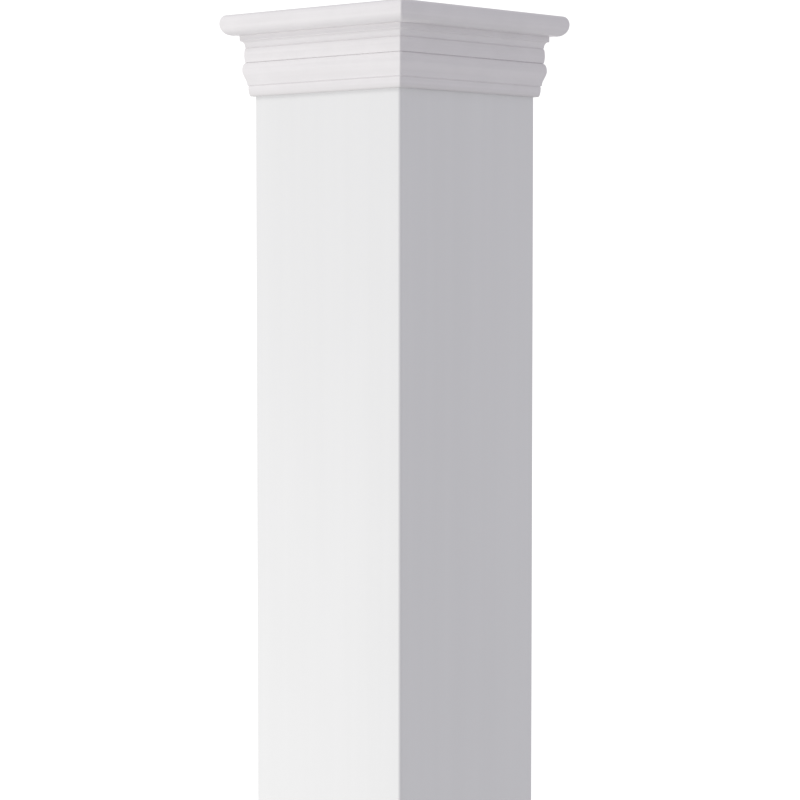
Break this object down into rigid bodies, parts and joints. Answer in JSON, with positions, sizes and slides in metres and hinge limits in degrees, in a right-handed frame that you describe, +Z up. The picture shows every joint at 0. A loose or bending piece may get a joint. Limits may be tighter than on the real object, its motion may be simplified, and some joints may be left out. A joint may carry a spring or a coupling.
{
  "type": "square column",
  "caption": "Square hollow PVC column with a moulded capital and a plain moulded base, to wrap a post or stand as a porch column.",
  "frame": {"origin": "centre of the underside, on the ground", "axes": "+Z up along the column's centre line, X and Y square to the shaft's faces"},
  "size_m": [0.2552, 0.2552, 2.4384],
  "materials": {
    "shaft_pvc": "smooth satin white cellular PVC",
    "moulding_pvc": "smooth satin white cellular PVC, a shade warmer than the shaft"
  },
  "bodies": {
    "root": {"shaft": "shaft_pvc", "top_plate": "moulding_pvc", "crown_moulding": "moulding_pvc", "neck_moulding": "moulding_pvc", "base_moulding": "moulding_pvc", "plinth": "moulding_pvc"}
  },
  "joints": []
}
